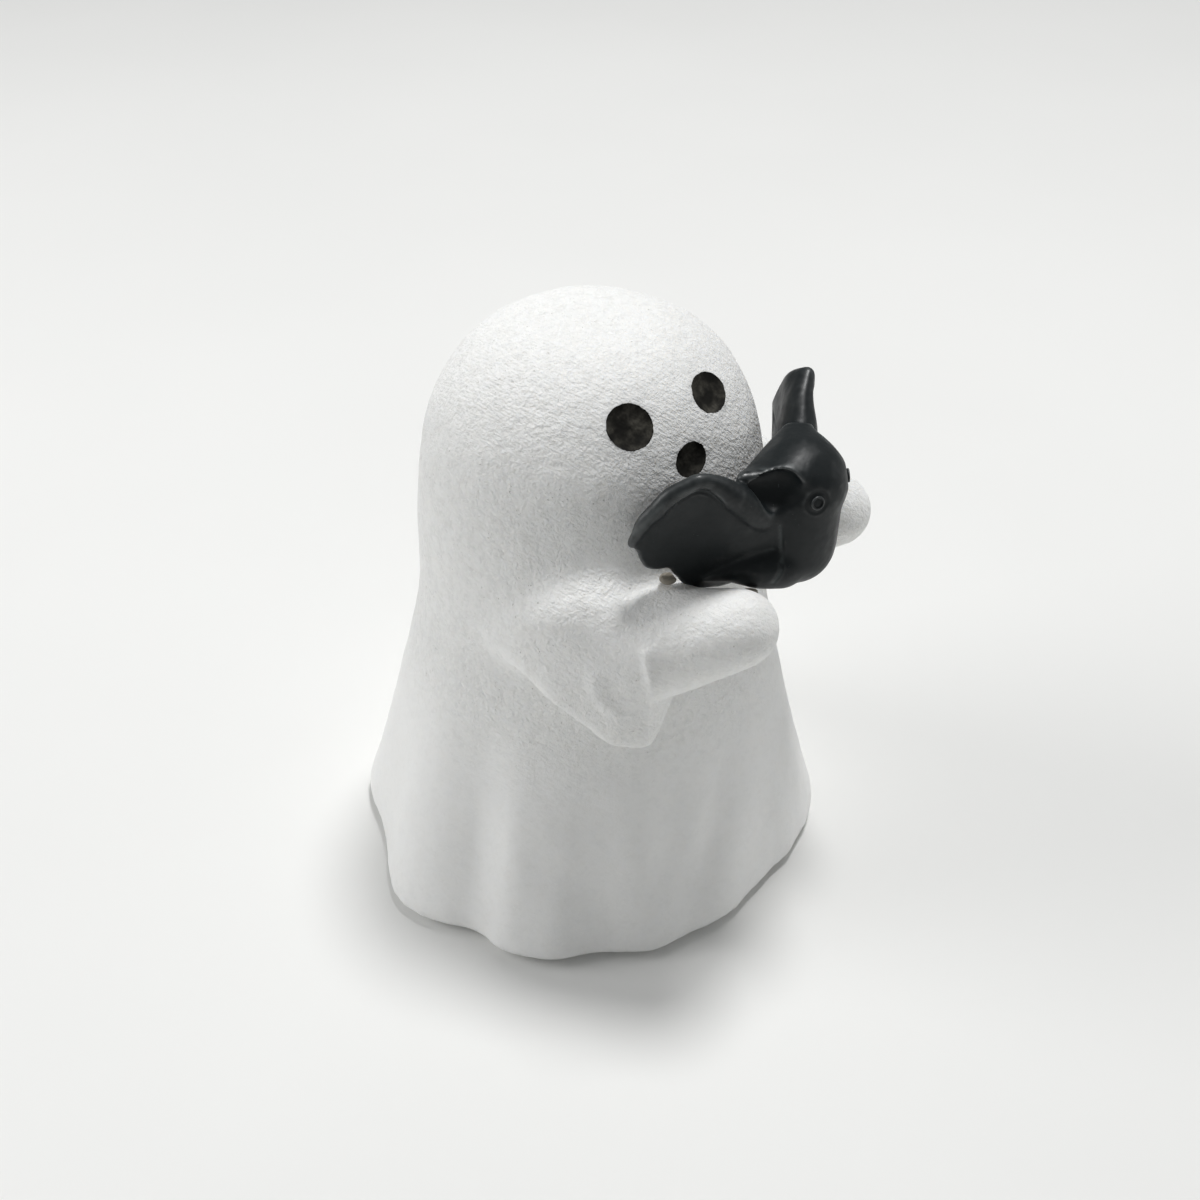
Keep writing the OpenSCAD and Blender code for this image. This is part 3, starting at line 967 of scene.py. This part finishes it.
def bat_block(settings):
    """The bat's head, body, hips and wings, as separate shells."""
    block = bmesh.new()
    add_skin(block, bat_balls((HEAD, BODY)))
    join(block, head_shape())
    left_parts = [wing_shape(settings, LEFT_ARM, LEFT_RIDGE, LEFT_EDGE), hip_shape()]
    right_parts = [wing_shape(settings, RIGHT_ARM, RIGHT_RIDGE, RIGHT_EDGE), hip_shape(),
                   root_shape(settings)]
    for part in right_parts:
        bmesh.ops.transform(part, matrix=Matrix.Scale(-1, 4, (1, 0, 0)), verts=part.verts)
        bmesh.ops.reverse_faces(part, faces=part.faces)
    for part in left_parts + right_parts:
        join(block, part)
    return block


def carve_bat(settings):
    """The bat's mesh in millimetres."""
    bat = new_object(bat_block(settings), "stone_bat")
    grid = settings.grid / MM
    rebuild(bat, grid)
    mesh = bat.data
    edges = get_edges(mesh)
    set_points(mesh, relaxed(get_points(mesh), edges, PULL, BAT_ROUNDS))
    set_points(mesh, relaxed(get_points(mesh), edges, PULL * soft_zone(mesh), SOFT_ROUNDS))
    for side in (1, -1):
        combine(bat, cup_shape(side), "DIFFERENCE")
    rebuild(bat, grid)
    mesh = bat.data
    edges = get_edges(mesh)
    points = relaxed(get_points(mesh), edges, PULL, CUP_ROUNDS)
    cheek_line = [bat_place(*place) for place in CHEEK_LINE]
    cheek = 1 - ease(from_line(to_left(points), cheek_line), 1.0, 2.0)
    points = relaxed(points, edges, PULL * cheek, CHEEK_ROUNDS)
    set_points(mesh, points)
    set_points(mesh, with_carved_lines(points, get_normals(mesh), settings))
    points = get_points(mesh)
    bumps = 0.04 * rough(points, 2.2) + 0.015 * rough(points, 0.7)
    set_points(mesh, points + get_normals(mesh) * bumps[:, None])
    for side in (1, -1):
        combine(bat, eye_shape(bat, side, settings.eye_diameter / MM), "UNION")
    mark_wear(bat.data)
    return bat


class OBJECT_OT_bat(bpy.types.Operator):
    """Carve the black stone bat with its ears, eyes and wings"""
    bl_idname = "object.stone_bat"
    bl_label = "Stone bat"

    def execute(self, context):
        settings = context.scene.ghost_bat
        bat = carve_bat(settings)
        finish_piece(bat, [black_stone_material(settings)], "bat")
        return {"FINISHED"}


# Paint and glue

def paint_shape(place, radius, thickness, seed):
    """A layer of paint on a drilled hole's floor, drawn up a little at the wall and uneven on top."""
    rings = 9
    creep = 0.45
    lump = 0.07
    paint = bmesh.new()
    bmesh.ops.create_cone(paint, cap_ends=True, segments=64, radius1=radius, radius2=radius,
                          depth=thickness)
    bmesh.ops.translate(paint, vec=(0, 0, thickness / 2), verts=paint.verts)
    top = [face for face in paint.faces if face.normal.z > 0.9]
    for _ in range(rings):
        bmesh.ops.inset_region(paint, faces=top, thickness=radius / (rings + 1))
    bmesh.ops.poke(paint, faces=top)
    for vertex in paint.verts:
        if vertex.co.z > thickness / 2:
            share = vertex.co.xy.length / radius
            broad = noise.noise(vertex.co * 1.1 + Vector((seed * 7, 0, 0)))
            fine = noise.noise(vertex.co * 3.1)
            vertex.co.z += creep * share ** 3 + lump * (broad + 0.5 * fine)
    bmesh.ops.transform(paint, matrix=place, verts=paint.verts)
    return paint


class OBJECT_OT_paint(bpy.types.Operator):
    """Paint the floors of the ghost's drilled eyes and mouth"""
    bl_idname = "object.face_paint"
    bl_label = "Face paint"

    def execute(self, context):
        thickness = context.scene.ghost_details.paint_thickness / MM
        for seed, node in enumerate(FACE_NODES):
            place, radius = drilled_hole(node)
            shape = paint_shape(place, radius, thickness, seed)
            paint = new_object(shape, node.replace("paint", "paint_layer"))
            finish_piece(paint, [shared_paint()], node)
        return {"FINISHED"}


def shrink(mesh, shares):
    """Draws a mesh in towards its middle, by its own share level and up."""
    points = get_points(mesh)
    middle = points.mean(0)
    set_points(mesh, middle + np.array(shares) * (points - middle))


# The beads, with how much of each is left after shrinking, level and up
GLUE_NODES = {"right_hand_glue": (0.65, 0.65, 0.5), "left_hand_glue": (0.65, 0.65, 0.5),
              "wing_glue": (0.68, 0.68, 0.35)}
# Rounds of smoothing of a bead
GLUE_ROUNDS = 6


class OBJECT_OT_glue(bpy.types.Operator):
    """Squeeze out the beads of glue that hold the bat"""
    bl_idname = "object.glue_beads"
    bl_label = "Glue beads"

    def execute(self, context):
        settings = context.scene.ghost_details
        material = glue_material(settings)
        for node, shares in GLUE_NODES.items():
            bead = new_object(node_shape(node), node.replace("glue", "glue_bead"))
            rebuild(bead, settings.glue_grid / MM)
            mesh = bead.data
            set_points(mesh, relaxed(get_points(mesh), get_edges(mesh), PULL, GLUE_ROUNDS))
            shrink(mesh, shares)
            finish_piece(bead, [material], node)
        return {"FINISHED"}


# Stage

# The lamps: steps to the photograph's right, away and up, then the size and power as shares of the settings
LAMPS = {"overhead_lamp": ((0.13, 0.18, 0.83), 1, 1), "left_lamp": ((-0.56, 0.0, 0.36), 2, 0.33),
         "right_lamp": ((0.6, 0.1, 0.25), 2, 0.06)}


class SCENE_OT_stage(bpy.types.Operator):
    """Set up the floor, the soft light and the camera"""
    bl_idname = "scene.ghost_stage"
    bl_label = "Stage"

    def execute(self, context):
        scene = context.scene
        settings = scene.ghost_stage
        scene.view_settings.view_transform = "Standard"
        add_floor(settings)
        add_light(scene, settings)
        add_camera(scene)
        return {"FINISHED"}


def add_floor(settings):
    """A pale floor that the ghost stands on."""
    shape = bmesh.new()
    bmesh.ops.create_grid(shape, x_segments=8, y_segments=8, size=settings.floor_size / 2)
    floor = new_object(shape, "floor")
    floor.data.materials.append(floor_material(settings))


def add_lamp(scene, name, place, size, power):
    """A round lamp aimed at the ghost, placed by steps to the photograph's right, away and up."""
    lamp = bpy.data.lights.new(name, "AREA")
    lamp.shape = "DISK"
    lamp.size = size
    lamp.energy = power
    made = bpy.data.objects.new(name, lamp)
    away = Vector((CAMERA_TARGET - CAMERA_AT).xy).normalized()
    right, back, up = place
    made.location = (right * away.y + back * away.x, back * away.y - right * away.x, up)
    aim = CAMERA_TARGET - made.location
    made.rotation_euler = aim.to_track_quat("-Z", "Y").to_euler()
    scene.collection.objects.link(made)


def add_light(scene, settings):
    """A lamp overhead and a little behind, a larger one on each side, and light from all round."""
    world = bpy.data.worlds.new("studio")
    scene.world = world
    world.use_nodes = True
    background = next(node for node in world.node_tree.nodes if node.type == "BACKGROUND")
    set_inputs(world.node_tree, background,
               {"Color": settings.sky_color, "Strength": settings.sky_strength})
    for name, (place, size, power) in LAMPS.items():
        add_lamp(scene, name, place, size * settings.lamp_size, power * settings.lamp_power)


def add_camera(scene):
    """The camera of the photograph."""
    data = bpy.data.cameras.new("camera")
    data.sensor_width = SENSOR_WIDTH
    data.lens = SENSOR_WIDTH / 2 / math.tan(CAMERA_VIEW / 2)
    data.clip_start = 0.01
    camera = bpy.data.objects.new("camera", data)
    camera.location = CAMERA_AT
    camera.rotation_euler = (CAMERA_TARGET - CAMERA_AT).to_track_quat("-Z", "Y").to_euler()
    scene.collection.objects.link(camera)
    scene.camera = camera


class VIEW3D_PT_ghost(bpy.types.Panel):
    """Lists the pieces of the carving and their settings"""
    bl_label = "Marble ghost"
    bl_space_type = "VIEW_3D"
    bl_region_type = "UI"
    bl_category = "Ghost"

    def draw(self, context):
        for operator, name in STEPS:
            self.layout.operator(operator.bl_idname)
            settings = getattr(context.scene, name)
            for key in settings.__annotations__:
                self.layout.prop(settings, key)


SETTINGS = {"ghost_stone": GhostSettings, "ghost_bat": BatSettings, "ghost_details": DetailSettings,
            "ghost_stage": StageSettings}
STEPS = ((SCENE_OT_stage, "ghost_stage"), (OBJECT_OT_ghost, "ghost_stone"), (OBJECT_OT_bat, "ghost_bat"),
         (OBJECT_OT_paint, "ghost_details"), (OBJECT_OT_glue, "ghost_details"))
CLASSES = (*SETTINGS.values(), *(operator for operator, _ in STEPS), VIEW3D_PT_ghost)


def register():
    for item in CLASSES:
        bpy.utils.register_class(item)
    for name, group in SETTINGS.items():
        setattr(bpy.types.Scene, name, PointerProperty(type=group))


def unregister():
    for name in SETTINGS:
        delattr(bpy.types.Scene, name)
    for item in reversed(CLASSES):
        bpy.utils.unregister_class(item)


def main():
    register()
    bpy.ops.scene.ghost_stage()
    bpy.ops.object.marble_ghost()
    bpy.ops.object.stone_bat()
    bpy.ops.object.face_paint()
    bpy.ops.object.glue_beads()


if __name__ == "__main__":
    main()
